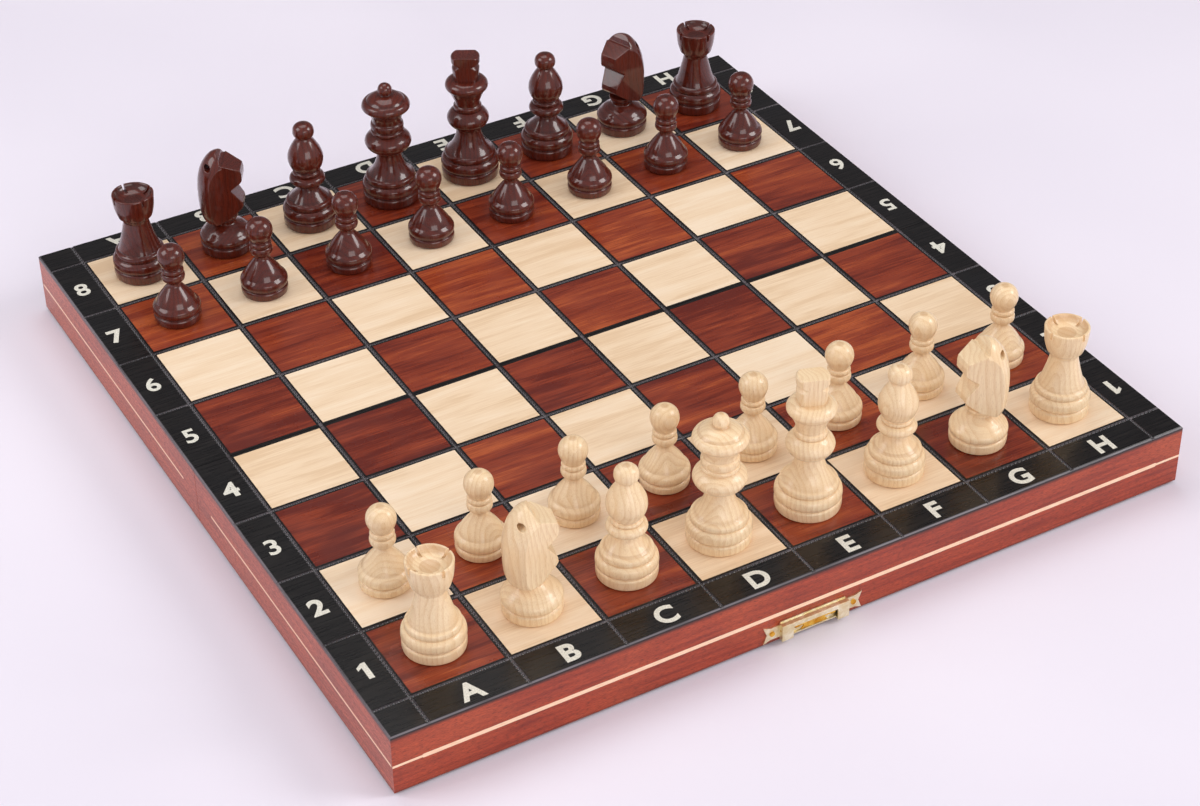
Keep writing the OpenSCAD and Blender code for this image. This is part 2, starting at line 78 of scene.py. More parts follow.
class Shader:
    """One node material; points are read in the object's own frame, in millimetres."""

    def __init__(self, name):
        self.mat = bpy.data.materials.new(name)
        self.mat.use_nodes = True
        self.tree = self.mat.node_tree
        self.bsdf = self.tree.nodes["Principled BSDF"]
        coord = self.tree.nodes.new("ShaderNodeTexCoord")
        self.mm = self.math_v("SCALE", coord.outputs["Object"], Scale=1000.0)

    def add(self, kind, inputs, out=0, **props):
        node = self.tree.nodes.new(kind)
        for key, value in props.items():
            setattr(node, key, value)
        for key, value in inputs.items():
            socket = node.inputs[key]
            if isinstance(value, bpy.types.NodeSocket):
                self.tree.links.new(value, socket)
            else:
                socket.default_value = value
        return node.outputs[out]

    def math_v(self, operation, a, b=None, **named):
        inputs = {0: a, **named}
        if b is not None:
            inputs[1] = b
        return self.add("ShaderNodeVectorMath", inputs, operation=operation)

    def calc(self, operation, a, b=0.0, clamp=False):
        return self.add("ShaderNodeMath", {0: a, 1: b}, operation=operation, use_clamp=clamp)

    def stretch(self, scale, point=None):
        return self.math_v("MULTIPLY", point or self.mm, scale)

    def noise(self, point, scale=1.0, detail=3.0, rough=0.5, distort=0.0, out=0):
        inputs = {"Vector": point, "Scale": scale, "Detail": detail}
        inputs.update({"Roughness": rough, "Distortion": distort})
        return self.add("ShaderNodeTexNoise", inputs, out)

    def xyz(self, point=None):
        node = self.tree.nodes.new("ShaderNodeSeparateXYZ")
        self.tree.links.new(point or self.mm, node.inputs[0])
        return node.outputs

    def ramp(self, value, low, high, a=0.0, b=1.0, smooth=True):
        return self.add(
            "ShaderNodeMapRange",
            {"Value": value, "From Min": low, "From Max": high, "To Min": a, "To Max": b},
            interpolation_type="SMOOTHSTEP" if smooth else "LINEAR",
        )

    def mix(self, share, a, b, blend="MIX"):
        node = self.tree.nodes.new("ShaderNodeMix")
        node.data_type, node.blend_type = "RGBA", blend
        for socket, value in ((node.inputs[0], share), (node.inputs[6], a), (node.inputs[7], b)):
            if isinstance(value, bpy.types.NodeSocket):
                self.tree.links.new(value, socket)
            elif isinstance(value, float):
                socket.default_value = value
            else:
                socket.default_value = rgb(value)
        return node.outputs[2]

    def seed(self):
        return self.add("ShaderNodeAttribute", {}, out=2, attribute_name="seed", attribute_type="OBJECT")

    def point_value(self, name):
        return self.add("ShaderNodeAttribute", {}, out=2, attribute_name=name, attribute_type="GEOMETRY")

    def bump(self, height, strength, distance_mm):
        inputs = {"Height": height, "Strength": strength, "Distance": distance_mm * MM}
        return self.add("ShaderNodeBump", inputs)

    def finish(self, color=None, rough=None, normal=None, **fixed):
        for name, value in (("Base Color", color), ("Roughness", rough), ("Normal", normal)):
            if value is None:
                continue
            if isinstance(value, bpy.types.NodeSocket):
                self.tree.links.new(value, self.bsdf.inputs[name])
            else:
                self.bsdf.inputs[name].default_value = rgb(value) if name == "Base Color" else value
        for name, value in fixed.items():
            self.bsdf.inputs[name.replace("_", " ")].default_value = value
        return self.mat


def linear(c):
    return c / 255 / 12.92 if c <= 10.3 else ((c / 255 + 0.055) / 1.055) ** 2.4


def rgb(value):
    """A display colour from 0 to 255 as the linear colour that Blender takes."""
    return tuple(linear(c) for c in value) + (1.0,)


# ---------------------------------------------------------------- materials


def veneer(name, dark, mid, light, coat, rough, streak):
    """Flat sliced veneer with its grain along X, one tone a square."""
    s = Shader(name)
    cell = s.math_v("FLOOR", s.math_v("MULTIPLY", s.mm, (1 / PITCH, 1 / PITCH, 0.0)))
    tone = s.add("ShaderNodeTexWhiteNoise", {"Vector": cell}, 0, noise_dimensions="3D")
    jitter = s.add("ShaderNodeTexWhiteNoise", {"Vector": cell}, 1, noise_dimensions="3D")
    point = s.math_v("ADD", s.mm, s.math_v("MULTIPLY", jitter, (300.0, 300.0, 0.0)))
    wide = s.noise(s.stretch((0.018, 0.16, 0.1), point), detail=3.0, distort=0.6)
    fine = s.noise(s.stretch((0.05, 1.6, 0.6), point), detail=4.0, rough=0.65)
    hair = s.noise(s.stretch((0.11, 5.5, 2.0), point), detail=2.0, rough=0.6)
    pores = s.ramp(s.noise(s.stretch((0.32, 6.5, 3.0), point), detail=1.0), 0.63, 0.72)
    share = s.calc("ADD", s.calc("MULTIPLY", wide, 0.55), s.calc("MULTIPLY", fine, 0.45))
    share = s.calc("ADD", share, s.calc("MULTIPLY", s.calc("SUBTRACT", tone, 0.5), 0.16))
    color = s.mix(s.ramp(share, 0.36, 0.52), dark, mid)
    color = s.mix(s.ramp(share, 0.50, 0.66), color, light)
    color = s.mix(s.ramp(hair, 0.42, 0.7, 0.0, streak), color, dark)
    color = s.mix(s.calc("MULTIPLY", pores, streak), color, dark)
    height = s.calc("SUBTRACT", s.calc("MULTIPLY", fine, 0.5), pores)
    smear = s.noise(s.stretch((0.05, 0.05, 0.05)), detail=4.0)
    return s.finish(
        color,
        s.ramp(smear, 0.3, 0.75, rough - 0.05, rough + 0.1),
        s.bump(height, 0.25, 0.05),
        Coat_Weight=coat,
        Coat_Roughness=0.16,
        Specular_IOR_Level=0.4,
    )


def border_black():
    s = Shader("black_border")
    grain = s.noise(s.stretch((0.06, 0.9, 0.5)), detail=5.0, rough=0.7)
    cloud = s.noise(s.stretch((0.03, 0.03, 0.03)), detail=3.0)
    color = s.mix(s.ramp(grain, 0.4, 0.75), (12, 10, 10), (30, 25, 23))
    color = s.mix(s.ramp(cloud, 0.45, 0.75, 0.0, 0.5), color, (24, 25, 27))
    z = s.xyz()[2]
    side = s.ramp(z, LAYER_Z + 0.2, LAYER_Z + 0.75, 1.0, 0.0)
    color = s.mix(s.calc("MULTIPLY", side, 0.6), color, (60, 26, 18))
    # painted highlight: a pale grey band high on the border's side stands in for the gloss on its chamfer
    rise = s.ramp(z, LAYER_Z + 0.65, LAYER_Z + 0.9)
    fall = s.ramp(z, LAYER_Z + 1.15, LAYER_Z + 1.4, 0.6, 0.0)
    painted_highlight_band = s.calc("MULTIPLY", rise, fall)
    color = s.mix(s.calc("MULTIPLY", painted_highlight_band, s.ramp(cloud, 0.3, 0.6, 0.4, 1.0)), color, (150, 142, 146))
    return s.finish(
        color,
        s.ramp(grain, 0.3, 0.8, 0.24, 0.42),
        s.bump(grain, 0.3, 0.06),
        Coat_Weight=0.3,
        Coat_Roughness=0.14,
        Specular_IOR_Level=0.3,
    )


def case_wood(name, along_x):
    """Stained alder: fine dark pores along the wall and a darker line under the border."""
    s = Shader(name)
    run = (0.035, 0.6, 0.6) if along_x else (0.6, 0.035, 0.6)
    short = (0.45, 3.2, 3.2) if along_x else (3.2, 0.45, 3.2)
    wide = s.noise(s.stretch(run), detail=4.0, rough=0.6, distort=0.4)
    speck = s.noise(s.stretch(short), detail=3.0, rough=0.75)
    cloud = s.noise(s.stretch((0.025, 0.025, 0.05)), detail=2.0)
    deep, pale = ((138, 44, 22), (180, 70, 38)) if along_x else ((156, 62, 36), (202, 92, 58))
    color = s.mix(s.ramp(wide, 0.3, 0.7), deep, pale)
    color = s.mix(s.ramp(cloud, 0.4, 0.75, 0.0, 0.55), color, (196, 88, 48))
    color = s.mix(s.ramp(speck, 0.44, 0.66, 0.0, 0.75), color, (96, 34, 20))
    z = s.xyz()[2]
    # the wall is darker in a band just under the border
    under_border_band = s.ramp(z, LAYER_Z - 1.5, LAYER_Z - 0.1)
    color = s.mix(s.calc("MULTIPLY", under_border_band, 0.75), color, (44, 18, 14))
    foot = s.ramp(z, 1.2, 2.6, 0.5, 0.0)
    color = s.mix(foot, color, (58, 24, 16))
    return s.finish(
        color,
        s.ramp(speck, 0.3, 0.8, 0.3, 0.46),
        s.bump(speck, 0.25, 0.06),
        Coat_Weight=0.25,
        Coat_Roughness=0.2,
        Specular_IOR_Level=0.35,
    )


def plywood():
    s = Shader("plywood")
    grain = s.noise(s.stretch((0.04, 0.9, 0.9)), detail=5.0, rough=0.6, distort=0.5)
    fleck = s.noise(s.stretch((0.4, 4.0, 4.0)), detail=2.0)
    color = s.mix(s.ramp(grain, 0.3, 0.7), (168, 128, 84), (212, 176, 128))
    color = s.mix(s.ramp(fleck, 0.55, 0.75, 0.0, 0.5), color, (140, 98, 60))
    return s.finish(color, 0.62, s.bump(fleck, 0.3, 0.08))


def maple_inlay():
    s = Shader("maple_inlay")
    grain = s.noise(s.stretch((0.2, 0.2, 3.5)), detail=4.0, rough=0.65)
    color = s.mix(s.ramp(grain, 0.3, 0.7), (246, 194, 154), (255, 226, 194))
    return s.finish(color, 0.34, s.bump(grain, 0.2, 0.05), Coat_Weight=0.35, Coat_Roughness=0.2)


def brass(name, deep, bright, rough):
    s = Shader(name)
    cloud = s.noise(s.stretch((0.25, 0.25, 0.25)), detail=4.0, rough=0.6)
    brush = s.noise(s.stretch((0.5, 6.0, 6.0)), detail=2.0)
    color = s.mix(s.ramp(cloud, 0.35, 0.7), deep, bright)
    wear = s.calc("ADD", s.calc("MULTIPLY", cloud, 0.6), s.calc("MULTIPLY", brush, 0.4))
    painted_highlight_band = s.ramp(wear, 0.3, 0.75, rough, rough + 0.16)
    return s.finish(color, painted_highlight_band, s.bump(brush, 0.12, 0.03), Metallic=1.0)


def turned_wood(name, ring_dark, ring_light, pore_tone_and_groove_shade, top, coat, rough, contrast, gloss):
    """Solid wood with its rings about an axis beside the lathe's; one tone darkens the pores and is also the
    painted shade in the grooves.
    """
    s = Shader(name)
    seed = s.seed()
    far_apart = enumerate((61.0, 23.0, 140.0))
    shift = s.add("ShaderNodeCombineXYZ", {i: s.calc("MULTIPLY", seed, mm) for i, mm in far_apart})
    point = s.math_v("ADD", s.mm, shift)
    sway = s.noise(s.stretch((0.05, 0.05, 0.02), point), detail=2.0, out=1)
    sway = s.math_v("SUBTRACT", sway, (0.5, 0.5, 0.5))
    bent = s.math_v("ADD", s.mm, s.math_v("MULTIPLY", sway, (16.0, 16.0, 5.0)))
    x, y, z = s.xyz(bent)
    px = s.calc("ADD", x, s.calc("ADD", s.calc("MULTIPLY", seed, 14.0), 17.0))
    py = s.calc("ADD", y, s.calc("SUBTRACT", s.calc("MULTIPLY", seed, 26.0), 9.0))
    far = s.calc("SQRT", s.calc("ADD", s.calc("MULTIPLY", px, px), s.calc("MULTIPLY", py, py)))
    far = s.calc("ADD", far, s.calc("MULTIPLY", z, 0.05))
    saw = s.calc("FRACT", s.calc("MULTIPLY", far, 0.48))
    late = s.ramp(saw, 0.35, 0.98)
    fibre = s.noise(s.stretch((2.6, 2.6, 0.16), point), detail=4.0, rough=0.7)
    cloud = s.noise(s.stretch((0.09, 0.09, 0.05), point), detail=3.0)
    pores = s.ramp(s.noise(s.stretch((5.5, 5.5, 0.5), point), detail=1.0), 0.62, 0.72)
    share = s.calc("MULTIPLY", late, contrast)
    color = s.mix(share, ring_light, ring_dark)
    color = s.mix(s.ramp(fibre, 0.4, 0.75, 0.0, 0.5), color, ring_dark)
    color = s.mix(s.ramp(cloud, 0.4, 0.75, 0.0, 0.45), color, top)
    color = s.mix(s.calc("MULTIPLY", pores, 0.35), color, pore_tone_and_groove_shade)
    # painted shade: the grooves, marked by the point value hollow, are darkened towards the pore tone
    color = s.mix(s.calc("MULTIPLY", s.point_value("hollow"), 0.4), color, pore_tone_and_groove_shade)
    mark = s.calc("ADD", s.calc("MULTIPLY", fibre, 0.5), s.calc("MULTIPLY", late, 0.15))
    lathe_marks = s.noise(s.stretch((0.02, 0.02, 5.0), s.mm), detail=2.0)
    height = s.calc("ADD", mark, s.calc("MULTIPLY", lathe_marks, 0.6))
    return s.finish(
        color,
        s.ramp(fibre, 0.3, 0.75, rough, rough + 0.12),
        s.bump(height, 0.22, 0.08),
        Coat_Weight=coat,
        Coat_Roughness=0.07,
        Specular_IOR_Level=gloss,
    )


def letter_paint():
    s = Shader("letter_paint")
    chip = s.noise(s.stretch((1.5, 1.5, 1.5)), detail=4.0, rough=0.7)
    color = s.mix(s.ramp(chip, 0.35, 0.7), (206, 203, 190), (240, 236, 222))
    return s.finish(color, 0.5, s.bump(chip, 0.2, 0.04))


def rope_black():
    s = Shader("rope_black")
    char = s.noise(s.stretch((1.2, 1.2, 1.2)), detail=3.0, rough=0.7)
    color = s.mix(s.ramp(char, 0.4, 0.7), (16, 16, 19), (48, 45, 46))
    z = s.xyz()[2]
    # painted highlight: the top of each bead is painted pale grey as a glint
    color = s.mix(s.ramp(z, TOP_Z - 0.24, TOP_Z - 0.15, 0.0, 0.3), color, (158, 156, 164))
    return s.finish(color, s.ramp(char, 0.3, 0.7, 0.16, 0.32), None, Coat_Weight=0.8, Coat_Roughness=0.08)


def floor_paint():
    s = Shader("floor_paint")
    soft = s.noise(s.stretch((0.004, 0.004, 0.004)), detail=2.0)
    tooth = s.noise(s.stretch((1.2, 1.2, 1.2)), detail=2.0)
    color = s.mix(s.ramp(soft, 0.3, 0.7), (234, 228, 239), (240, 234, 244))
    return s.finish(color, 0.6, s.bump(tooth, 0.05, 0.05), Specular_IOR_Level=0.2)


MAT = {
    "light_veneer": veneer(
        "light_veneer", (230, 198, 160), (243, 216, 182), (249, 227, 198), 0.2, 0.36, 0.16
    ),
    "dark_veneer": veneer("dark_veneer", (98, 28, 14), (142, 56, 30), (182, 88, 44), 0.3, 0.28, 0.4),
    "black_border": border_black(),
    "case_wood": case_wood("case_wood", True),
    "case_wood_side": case_wood("case_wood_side", False),
    "plywood": plywood(),
    "maple_inlay": maple_inlay(),
    "pale_brass": brass("pale_brass", (232, 216, 168), (254, 248, 222), 0.34),
    "gold_brass": brass("gold_brass", (214, 150, 40), (250, 206, 92), 0.22),
    "light_piece_wood": turned_wood(
        "light_piece_wood", (222, 180, 128), (247, 221, 181), (184, 130, 80), (236, 199, 150),
        coat=0.35, rough=0.3, contrast=0.4, gloss=0.4,
    ),
    "dark_piece_wood": turned_wood(
        "dark_piece_wood", (44, 12, 8), (96, 33, 19), (14, 4, 3), (62, 19, 11),
        coat=0.75, rough=0.24, contrast=0.38, gloss=0.25,
    ),
    "letter_paint": letter_paint(),
    "rope_black": rope_black(),
    "floor_paint": floor_paint(),
}

# ---------------------------------------------------------------- mesh helpers


def piece(name, mesh, material, body, place=None):
    """Links a mesh as a named piece that rides a body."""
    o = bpy.data.objects.new(name, mesh)
    bpy.context.scene.collection.objects.link(o)
    if not mesh.materials:
        mesh.materials.append(MAT[material])
    if place is not None:
        o.matrix_world = place
    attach(o, body)
    return o


def mesh_of(name, verts, faces):
    mesh = bpy.data.meshes.new(name)
    mesh.from_pydata(verts, [], faces)
    mesh.validate()
    return mesh


def smooth(mesh, sharp_deg=None):
    mesh.polygons.foreach_set("use_smooth", [True] * len(mesh.polygons))
    if sharp_deg is not None:
        bm = bmesh.new()
        bm.from_mesh(mesh)
        limit = math.radians(sharp_deg)
        for e in bm.edges:
            if len(e.link_faces) == 2 and e.calc_face_angle(0.0) > limit:
                e.smooth = False
        bm.to_mesh(mesh)
        bm.free()
    return mesh


# ---------------------------------------------------------------- turned outlines, [radius, height] in mm


def bead(z0, z1, r0, rb, n=14):
    """A half-round ring from z0 to z1 that swells from radius r0 to rb."""
    out = []
    for i in range(n + 1):
        a = math.pi * i / n
        out.append((r0 + (rb - r0) * math.sin(a), z0 + (z1 - z0) * (1 - math.cos(a)) / 2))
    return out


def circle(c, r, n=24):
    angles = [math.radians(360 * i / n) for i in range(n)]
    return [(c[0] + r * math.cos(a), c[1] + r * math.sin(a)) for a in angles]


def between(p0, p1, p2, p3, t):
    """The point at share t from p1 to p2 on the smooth line through all four."""
    return tuple(
        0.5 * (2 * b + (c - a) * t + (2 * a - 5 * b + 4 * c - d) * t * t + (3 * b - a - 3 * c + d) * t ** 3)
        for a, b, c, d in zip(p0, p1, p2, p3)
    )


def curve(points, n=6):
    """A smooth line through listed points."""
    last = len(points) - 1
    out = []
    for k in range(last):
        four = points[max(k - 1, 0)], points[k], points[k + 1], points[min(k + 2, last)]
        out += [between(*four, i / n) for i in range(n)]
    return [(max(0.0, r), z) for r, z in out] + [points[-1]]


def foot(r, g, t):
    """A plain disc up to a groove at g, then a ring up to t."""
    disc = [(0, 0), (r - 0.9, 0), (r - 0.4, 0.5), (r - 0.15, 1.8)]
    disc += [(r - 0.15, g - 0.9), (r - 0.45, g - 0.3), (r - 0.95, g)]
    ring = [(r - 0.9, g + 0.2), (r - 0.2, g + 0.9), (r, g + 2), (r - 0.3, t - 1.2), (r - 1.3, t)]
    return disc + curve(ring)


def step(r, z):
    """The second, smaller ring above the foot."""
    return curve([(r, z), (r + 0.3, z + 0.9), (r, z + 2.2), (r - 0.9, z + 2.9)])


OUTLINES = {
    "pawn": foot(10.2, 3.9, 8.6)
    + curve([(8.6, 8.9), (7.5, 11), (6.1, 13), (4.4, 15.2), (3.2, 16.8), (2.9, 18)])
    + [(3.2, 18.8), (4.1, 19.3)]
    + bead(19.5, 22.9, 4.2, 5)
    + bead(23, 25.2, 4, 4.7)
    + curve(
        [(3.9, 25.4), (4.9, 27.3), (5.6, 29.3), (5.75, 31), (5.3, 33), (4.1, 34.7), (2.3, 35.8), (0, 36.1)]
    ),
    "rook": foot(12.1, 5, 10.1)
    + step(10.3, 10.3)
    + curve([(9.2, 13.3), (8.3, 15.6), (7.4, 18.6), (6.5, 22), (5.8, 25), (5.5, 26.8)])
    + curve([(5.6, 27.1), (6, 28.3), (6.8, 29.2)])
    + curve([(7.3, 29.4), (7.8, 31), (8.4, 33.4), (8.8, 36.6), (9, 39.7)])
    + [(8.8, 40.1), (8.2, 40.2)]
    + curve([(7.9, 39.9), (7.1, 38.6), (5.4, 37.4), (2.6, 36.7), (0, 36.5)]),
    "knight": foot(11.7, 4.8, 9.2)
    + curve([(10, 9.5), (8.6, 10.9), (6.6, 12.2), (5.2, 13.2)])
    + curve([(4.9, 13.5), (5.1, 14.8), (5.8, 16)])
    + [(5.8, 17), (0, 17)],
    "bishop": foot(12, 5, 9.9)
    + step(10.1, 10.1)
    + curve([(8.9, 13.1), (7.6, 14.4), (6.1, 16), (5, 17.6), (4.5, 19.2)])
    + curve([(4.7, 19.9), (6.6, 20.6), (7.7, 21.8), (7.9, 22.8), (7.4, 24), (6.3, 24.8)])
    + bead(25, 26.7, 5.6, 6.2)
    + curve(
        [(5.4, 27), (6.7, 28.7), (7.6, 31), (7.85, 33.2), (7.5, 35.6), (6.4, 38.2)]
        + [(5, 40.6), (3.8, 42.4), (3.4, 43.3)]
    )
    + curve([(3.5, 43.6), (4.4, 44.4), (4.75, 46), (4.4, 48), (3.2, 49.4), (1.6, 50), (0, 50.2)]),
    "queen": foot(12.8, 4.8, 10)
    + step(10.9, 10.2)
    + curve([(9.7, 13.3), (8.3, 15), (6.9, 17.4), (5.9, 20), (5.4, 22.6), (5.3, 24)])
    + curve([(5.5, 24.4), (7.4, 25.3), (9.4, 27), (10.3, 28.8), (10.35, 30.2), (9.6, 31.8), (8, 33.2)])
    + bead(33.8, 35.6, 6.9, 7.5)
    + bead(35.8, 39.2, 6.7, 7.4)
    + curve([(6.5, 39.6), (6.8, 41.6), (7.8, 43.8), (9.2, 45.4)])
    + curve([(9.5, 45.5), (10.6, 46.6), (10.7, 47.9), (10.1, 49.2), (9.2, 49.9)])
    + curve([(8.6, 50), (7.4, 51.2), (5.4, 52.2), (3.2, 52.7)])
    + curve([(2.7, 53), (3.2, 54.2), (3.15, 55.6), (2.5, 57), (1.3, 57.9), (0, 58.2)]),
    "king": foot(13.2, 5, 10)
    + step(11.3, 10.2)
    + curve([(10, 13.5), (8.6, 15.2), (7.1, 17.6), (6.1, 20.2), (5.5, 22.6), (5.35, 24)])
    + curve([(5.6, 24.4), (7.2, 25.4), (8.8, 27.2), (9.5, 29.2), (9.2, 30.8), (8, 32.6), (6.6, 33.8)])
    + bead(34, 36.2, 5.9, 6.4)
    + curve([(5.6, 36.6), (5.9, 38.4), (7, 41.2), (8.5, 44)])
    + curve([(8.7, 44.1), (9.6, 45.4), (9.6, 46.8), (8.9, 48), (7.6, 48.9), (6.2, 49.3)])
    + [(0, 49.3)],
}


def soften(points, reach=0.16):
    """Rounds each clear corner of an outline over a short reach."""
    clean = [points[0]]
    for p in points[1:]:
        if math.dist(p, clean[-1]) > 0.03:
            clean.append(p)
    out = [clean[0]]
    for a, b, c in zip(clean, clean[1:], clean[2:]):
        u, v = Vector(a) - Vector(b), Vector(c) - Vector(b)
        if b[0] < 0.01 or u.angle(-v) < math.radians(14):
            out.append(b)
            continue
        p = Vector(b) + u.normalized() * min(reach, u.length * 0.45)
        q = Vector(b) + v.normalized() * min(reach, v.length * 0.45)
        out += [tuple(p.lerp(Vector(b), t).lerp(Vector(b).lerp(q, t), t)) for t in (0.0, 0.33, 0.67, 1.0)]
    return out + [clean[-1]]


def lathe(name, outline, segments=96):
    """Spins an outline about Z; the point value "hollow" marks its grooves."""
    line = soften(outline)
    hollow = []
    for i, (r, z) in enumerate(line):
        reach = 0.9
        near = [p[0] for p in line if abs(p[1] - z) < reach]
        hollow.append(max(0.0, min(1.0, (sum(near) / len(near) - r) / 0.55)))
    verts, faces, marks, rings = [], [], [], []
    for (r, z), h in zip(line, hollow):
        count = 1 if r < 1e-4 else segments
        rings.append((len(verts), count))
        for k in range(count):
            a = 2 * math.pi * k / segments
            verts.append((r * math.cos(a) * MM, r * math.sin(a) * MM, z * MM))
            marks.append(h)
    for (i, m), (j, n) in zip(rings, rings[1:]):
        for k in range(segments):
            k2 = (k + 1) % segments
            if m > 1 and n > 1:
                faces.append((i + k, i + k2, j + k2, j + k))
            elif n > 1:
                faces.append((i, j + k2, j + k))
            elif m > 1:
                faces.append((i + k, i + k2, j))
    mesh = mesh_of(name, verts, faces)
    mesh.attributes.new("hollow", "FLOAT", "POINT").data.foreach_set("value", marks)
    return smooth(mesh)


def evaluated(o, name):
    """The mesh of a scratch object with its modifiers applied; the object is removed."""
    bpy.context.view_layer.update()
    mesh = bpy.data.meshes.new_from_object(o.evaluated_get(bpy.context.evaluated_depsgraph_get()))
    mesh.name = name
    bpy.data.objects.remove(o)
    return mesh


def scratch(mesh):
    o = bpy.data.objects.new("scratch", mesh)
    bpy.context.scene.collection.objects.link(o)
    return o


def slab(points, depth, axis):
    """A closed prism of an outline in mm, depth thick about the middle, along axis."""
    n = len(points)
    verts = []
    for side in (-depth / 2, depth / 2):
        for u, v in points:
            xyz = (u, side, v) if axis == "y" else (side, u, v) if axis == "x" else (u, v, side)
            verts.append(tuple(c * MM for c in xyz))
    faces = [tuple(range(n)), tuple(range(2 * n - 1, n - 1, -1))]
    faces += [(i, i + n, (i + 1) % n + n, (i + 1) % n) for i in range(n)]
    mesh = mesh_of("slab", verts, faces)
    bm = bmesh.new()
    bm.from_mesh(mesh)
    bmesh.ops.recalc_face_normals(bm, faces=bm.faces)
    bm.to_mesh(mesh)
    bm.free()
    return mesh


def combine(base, others, operation):
    for mesh in others:
        cutter = scratch(mesh)
        m = base.modifiers.new("cut", "BOOLEAN")
        m.object, m.operation, m.solver = cutter, operation, "EXACT"
        bpy.context.view_layer.update()
        new = bpy.data.meshes.new_from_object(base.evaluated_get(bpy.context.evaluated_depsgraph_get()))
        base.modifiers.clear()
        base.data = new
        bpy.data.objects.remove(cutter)
    return base


def carve(o, name, voxel_mm, passes):
    """Even closed skin with softly rounded edges."""
    m = o.modifiers.new("even", "REMESH")
    m.mode, m.voxel_size = "VOXEL", voxel_mm * MM
    s = o.modifiers.new("soft", "SMOOTH")
    s.factor, s.iterations = 0.5, passes
    return smooth(evaluated(o, name))


CUT_WIDE = 1.3  # saw cuts in a rook's rim
CUT_TURN = 8


def rook_mesh():
    base = scratch(lathe("rook", OUTLINES["rook"]))
    cuts = []
    for k in range(4):
        a = math.radians(90 * k + CUT_TURN)
        bar = slab([(5.2, 37.2), (11.2, 37.2), (11.2, 41.2), (5.2, 41.2)], CUT_WIDE, "y")
        bar.transform(Matrix.Rotation(a, 4, "Z"))
        cuts.append(bar)
    combine(base, cuts, "DIFFERENCE")
    bevel = base.modifiers.new("edge", "BEVEL")
    bevel.width, bevel.segments = 0.12 * MM, 2
    bevel.limit_method, bevel.angle_limit = "ANGLE", math.radians(50)
    return smooth(evaluated(base, "rook"), 50)


def join(name, first, *others):
    bm = bmesh.new()
    for mesh in (first, *others):
        bm.from_mesh(mesh)
    mesh = bpy.data.meshes.new(name)
    bm.to_mesh(mesh)
    bm.free()
    return mesh


# the knight's side view with its nose towards +X, the plan of its cheeks, and its turned back
HEAD = [(-11, 14), (-2, 15.6), (3, 17.4), (8.4, 21.6), (9.3, 23), (9, 25), (4.7, 31.6)]
HEAD += [(9, 34.6), (9.7, 35.8), (9.8, 38.6), (9.3, 40.8), (2.3, 44.3), (1.2, 44.2)]
HEAD += [(0.6, 46.4), (-0.8, 48.2), (-3, 50), (-11, 50)]
CHEEKS = [(-4.6, 9.4), (10.5, 3.9), (10.5, -3.9), (-4.6, -9.4), (-12, -12.2), (-12, 12.2)]
BACK = [(0, 15), (8, 15)]
BACK += curve([(9, 15.8), (10, 19), (10.4, 25), (10.3, 32), (9.4, 38), (7.4, 43), (4, 47.2), (0, 48.8)])


def knight_mesh():
    head = scratch(slab(HEAD, 30, "y"))
    cheeks = slab(CHEEKS, 40, "z")
    cheeks.transform(Matrix.Translation((0, 0, 34 * MM)))
    blank = lathe("blank", BACK)
    block = slab([(-8, 14), (8, 14), (8, 54), (-8, 54)], 12, "x")
    block.transform(Matrix.Translation((8 * MM, 0, 0)))
    whole = combine(scratch(blank), [block], "UNION")
    both = whole.data
    bpy.data.objects.remove(whole)
    combine(head, [cheeks, both], "INTERSECT")
    eye = slab(circle((-4.4, 43), 1.4), 30, "y")
    combine(head, [eye], "DIFFERENCE")
    skin = carve(head, "head", 0.2, 1)
    return smooth(join("knight", lathe("foot", OUTLINES["knight"]), skin))


FINIAL = [(0, 49), (5.5, 49), (6, 52.4), (6.2, 55), (4.9, 56.4), (6.4, 57.6), (6.5, 60.4), (6, 61), (0, 61)]
FINIAL_THICK = 8.6


def king_mesh():
    blank = scratch(lathe("finial", FINIAL))
    combine(blank, [slab([(-10, 49), (10, 49), (10, 62), (-10, 62)], FINIAL_THICK, "y")], "INTERSECT")
    skin = carve(blank, "finial", 0.2, 3)
    return smooth(join("king", lathe("body", OUTLINES["king"]), skin))


# degrees that kings and knights are turned, by colour, kind and file
TURNS = {
    ("white", "king", 4): -20,
    ("black", "king", 4): -30,
    ("white", "knight", 1): -12,
    ("white", "knight", 6): 172,
    ("black", "knight", 1): -30,
    ("black", "knight", 6): 200,
}


def place_at(x, y, z, turn):
    """A place in mm, turned by degrees about Z."""
    return Matrix.Translation((x * MM, y * MM, z * MM)) @ Matrix.Rotation(math.radians(turn), 4, "Z")


def chessmen():
    meshes = {kind: lathe(kind, OUTLINES[kind]) for kind in ("pawn", "bishop", "queen")}
    meshes["rook"], meshes["knight"], meshes["king"] = rook_mesh(), knight_mesh(), king_mesh()
    back = ["rook", "knight", "bishop", "queen", "king", "bishop", "knight", "rook"]
    rng = random.Random(7)
    for colour, ranks, tone in (("white", (0, 1), "light_piece_wood"), ("black", (7, 6), "dark_piece_wood")):
        own = {kind: mesh.copy() for kind, mesh in meshes.items()}
        for kind, mesh in own.items():
            mesh.name = f"{colour}_{kind}"
            mesh.materials.clear()
            mesh.materials.append(MAT[tone])
        for file in range(8):
            for row, kind in ((0, back[file]), (1, "pawn")):
                node = f"{colour}_{kind}" if kind in ("king", "queen") else f"{colour}_{kind}_{FILES[file]}"
                turn = TURNS.get((colour, kind, file), 0 if kind == "rook" else rng.uniform(0, 360))
                place = place_at((file - 3.5) * PITCH, (ranks[row] - 3.5) * PITCH, STAND_Z, turn)
                o = piece(f"turned_{node}", own[kind], tone, node, place)
                o["seed"] = rng.random()
                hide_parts(node)


# ---------------------------------------------------------------- board details


